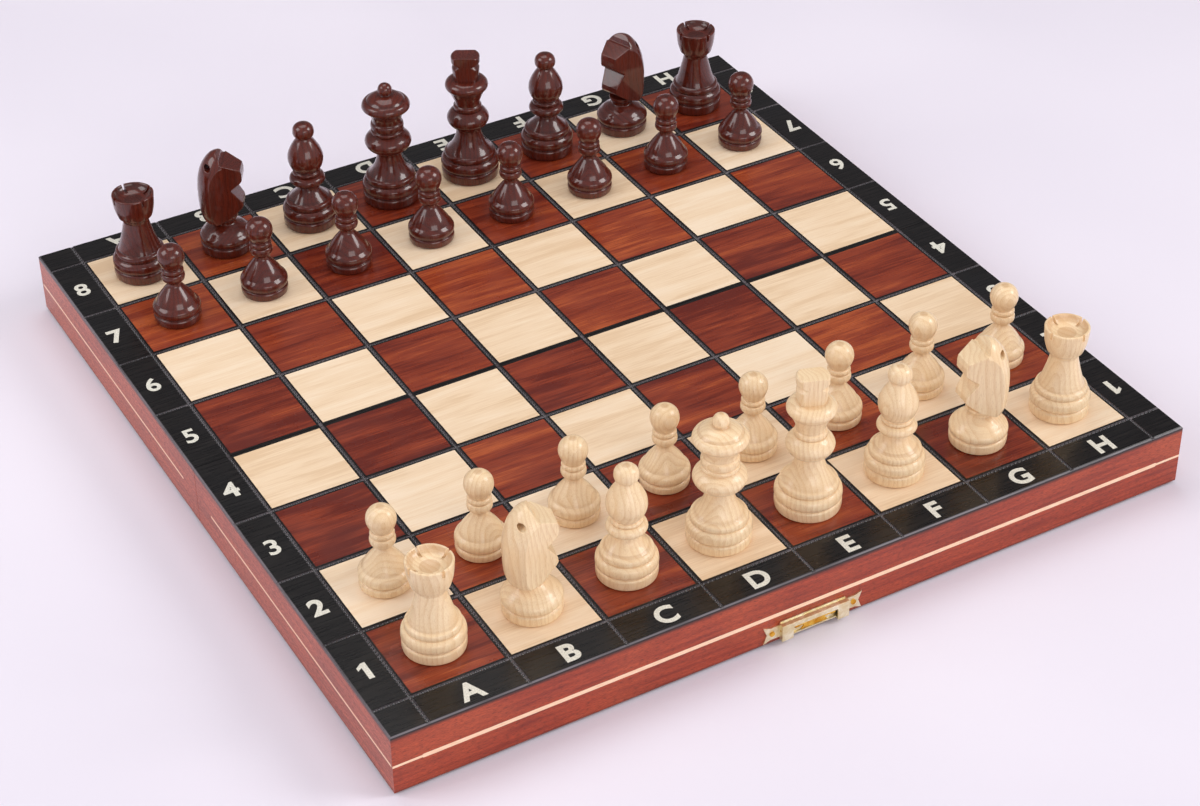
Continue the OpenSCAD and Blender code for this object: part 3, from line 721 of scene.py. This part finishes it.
def rope(name, body, sign):
    """Chains of pressed beads, slanted like a rope, in the grooves of one half."""
    step, long, wide, deep, lean = 1.9, 0.72, 0.64, 0.42, 0.45
    sunk = 0.56
    ring, levels = 8, 3
    verts, faces = [], []

    def bead_at(x, y, along_x):
        base = len(verts)
        for level in range(levels):
            t = math.pi / 2 * level / (levels - 0.35)
            for k in range(ring):
                a = 2 * math.pi * k / ring
                u, v = long * math.cos(a) * math.cos(t), wide * math.sin(a) * math.cos(t)
                u += lean * v
                px, py = (x + u, y + v) if along_x else (x + v, y + u)
                verts.append((px * MM, py * MM, (TOP_Z - sunk + deep * math.sin(t)) * MM))
        for level in range(levels - 1):
            for k in range(ring):
                k2 = (k + 1) % ring
                a = base + level * ring
                faces.append((a + k, a + k2, a + ring + k2, a + ring + k))
        faces.append(tuple(base + (levels - 1) * ring + k for k in range(ring)))
        faces.append(tuple(base + k for k in reversed(range(ring))))

    reach = HALF - 1.2
    for i in range(-4, 5):
        n = int((reach - 0.6) / step)
        for k in range(n):
            bead_at(i * PITCH, sign * (reach - k * step), False)
    for i in range(1, 5):
        for k in range(int(2 * reach / step) + 1):
            x = -reach + k * step
            if abs(x / PITCH - round(x / PITCH)) * PITCH > 1.0 or abs(x) > 4 * PITCH + 1:
                bead_at(x, sign * i * PITCH, True)
    mesh = smooth(mesh_of(name, verts, faces), 55)
    mesh.materials.append(MAT["rope_black"])
    return piece(name, mesh, "rope_black", body)


LETTER_MM = 9.1
PRINT_HALF = 0.03  # half the thickness of the print
CAP_SHARE = 0.73  # cap height of the built-in face, as a share of its size
ONE = [(0, 0), (0.24, 0), (0.24, 1), (0.06, 1), (-0.2, 0.8), (-0.2, 0.61), (0, 0.74)]


def glyph(text, size_mm, x, y, turn, body, name):
    """One board coordinate as a thin raised print."""
    if text == "1":
        mesh = slab([(u * size_mm, v * size_mm) for u, v in ONE], 2 * PRINT_HALF, "z")
    else:
        line = bpy.data.curves.new(name, "FONT")
        line.body = text
        line.size = size_mm * MM / CAP_SHARE
        line.align_x, line.align_y = "CENTER", "CENTER"
        line.offset = (0.02 if text in "3568" else 0.034) * line.size
        line.extrude = PRINT_HALF * MM
        line.resolution_u = 8
        mesh = evaluated(scratch(line), name)
    co = [v.co for v in mesh.vertices]
    cx = (min(c.x for c in co) + max(c.x for c in co)) / 2
    cy = (min(c.y for c in co) + max(c.y for c in co)) / 2
    mesh.transform(Matrix.Translation((-cx, -cy, 0)))
    mesh.materials.clear()
    mesh.materials.append(MAT["letter_paint"])
    place = place_at(x, y, TOP_Z + 0.02, turn)
    return piece(name, mesh, "letter_paint", body, place)


def lettering():
    middle = 4 * PITCH + (HALF - 4 * PITCH) / 2 + 0.4
    for i, letter in enumerate("ABCDEFGH"):
        x = (i - 3.5) * PITCH
        glyph(letter, LETTER_MM, x, -middle, 0, "front_half", f"front_mark_{letter}")
        glyph(letter, LETTER_MM, x, middle, 180, "rear_half", f"rear_mark_{letter}")
    for i in range(8):
        y = (i - 3.5) * PITCH
        body = "front_half" if i < 4 else "rear_half"
        glyph(str(i + 1), LETTER_MM, -middle, y, 0, body, f"left_mark_{i + 1}")
        glyph(str(i + 1), LETTER_MM, middle, y, 180, body, f"right_mark_{i + 1}")


def dress(node, *materials):
    o = NODES[node]
    o.data.materials.clear()
    for name in materials:
        o.data.materials.append(MAT[name])


def soft_edges(node, width_mm):
    """Welds the shown copy of a CAD node's corners and eases its edges."""
    o = NODES[node]
    weld = o.modifiers.new("weld", "WELD")
    weld.merge_threshold = 1e-6
    bevel = o.modifiers.new("ease", "BEVEL")
    bevel.width, bevel.segments = width_mm * MM, 2
    bevel.limit_method, bevel.angle_limit = "ANGLE", math.radians(50)
    bevel.harden_normals = False


def dress_board():
    for half in ("front", "rear"):
        dress(f"{half}_panel_core", "plywood")
        dress(f"{half}_light_squares", "light_veneer")
        dress(f"{half}_dark_squares", "dark_veneer")
        dress(f"{half}_border", "black_border")
        dress(f"{half}_end_wall", "case_wood")
        dress(f"{half}_hinge_wall", "case_wood")
        dress(f"{half}_side_walls", "case_wood_side")
        dress(f"{half}_inlays", "maple_inlay")
        dress(f"{half}_nails", "gold_brass")
    dress("hinge_front_leaves", "pale_brass")
    dress("hinge_rear_leaves", "pale_brass")
    dress("hinge_pins", "gold_brass")
    dress("clasp_plate", "pale_brass")
    dress("clasp_lever", "gold_brass")
    dress("clasp_lever_pin", "gold_brass")
    dress("hasp_plate", "pale_brass")
    dress("hasp", "pale_brass")
    dress("hasp_pin", "gold_brass")
    for half in ("front", "rear"):
        for wall in ("end_wall", "side_walls"):
            soft_edges(f"{half}_{wall}", 0.3)
    soft_edges("clasp_plate", 0.12)
    soft_edges("hasp_plate", 0.12)
    soft_edges("clasp_lever", 0.12)


# ---------------------------------------------------------------- stage


def make_floor():
    n, size = 12, 6.0
    row = n + 1
    verts = [((i / n - 0.5) * size, (j / n - 0.5) * size, 0.0) for j in range(row) for i in range(row)]
    corners = [j * row + i for j in range(n) for i in range(n)]
    faces = [(k, k + 1, k + row + 1, k + row) for k in corners]
    mesh = mesh_of("floor", verts, faces)
    mesh.materials.append(MAT["floor_paint"])
    o = bpy.data.objects.new("floor", mesh)
    bpy.context.scene.collection.objects.link(o)
    return o


def softbox(name, where, size, power, color):
    data = bpy.data.lights.new(name, "AREA")
    data.shape, data.size, data.size_y = "RECTANGLE", size[0], size[1]
    data.energy, data.color = power, color
    o = bpy.data.objects.new(name, data)
    bpy.context.scene.collection.objects.link(o)
    o.location = where
    o.rotation_mode = "QUATERNION"
    o.rotation_quaternion = (Vector((0, 0, 0.02)) - Vector(where)).to_track_quat("-Z", "Y")
    return o


def make_light():
    softbox("left", (-1.0, 0.3, 0.85), (0.7, 0.7), 5.5, (1.0, 0.99, 1.0))
    softbox("front_right", (1.45, -0.95, 1.35), (0.9, 0.9), 19.0, (1.0, 0.99, 0.98))
    softbox("top", (0.05, 0.4, 1.25), (0.8, 0.8), 4.5, (1.0, 1.0, 1.0))
    softbox("front_low", (-0.2, -1.3, 0.5), (0.9, 0.5), 4.0, (1.0, 0.98, 0.97))
    world = bpy.data.worlds.new("studio")
    bpy.context.scene.world = world
    world.use_nodes = True
    nodes, links = world.node_tree.nodes, world.node_tree.links
    back = nodes["Background"]
    back.inputs["Color"].default_value = (0.97, 0.94, 1.0, 1.0)
    # the far side, which the board mirrors towards the camera, is kept dim
    coord = nodes.new("ShaderNodeTexCoord")
    dot = nodes.new("ShaderNodeVectorMath")
    dot.operation = "DOT_PRODUCT"
    dot.inputs[1].default_value = (0.36, 0.68, 0.62)
    links.new(coord.outputs["Generated"], dot.inputs[0])
    dim = nodes.new("ShaderNodeMapRange")
    for socket, value in (("From Min", 0.2), ("From Max", 0.9), ("To Min", 0.54), ("To Max", 0.2)):
        dim.inputs[socket].default_value = value
    links.new(dot.outputs["Value"], dim.inputs["Value"])
    links.new(dim.outputs["Result"], back.inputs["Strength"])
    # what the camera sees past the floor is a plain pale wall
    wall = nodes.new("ShaderNodeBackground")
    wall.inputs["Color"].default_value = (0.72, 0.69, 0.77, 1.0)
    seen, pick = nodes.new("ShaderNodeLightPath"), nodes.new("ShaderNodeMixShader")
    links.new(seen.outputs["Is Camera Ray"], pick.inputs[0])
    links.new(back.outputs[0], pick.inputs[1])
    links.new(wall.outputs[0], pick.inputs[2])
    links.new(pick.outputs[0], nodes["World Output"].inputs[0])
    view = bpy.context.scene.view_settings
    view.view_transform, view.look = "Standard", "None"
    view.exposure, view.gamma = 0.0, 1.0


make_camera()
dress_board()
rope("rope_front", "front_half", -1)
rope("rope_rear", "rear_half", 1)
lettering()
chessmen()
make_floor()
make_light()
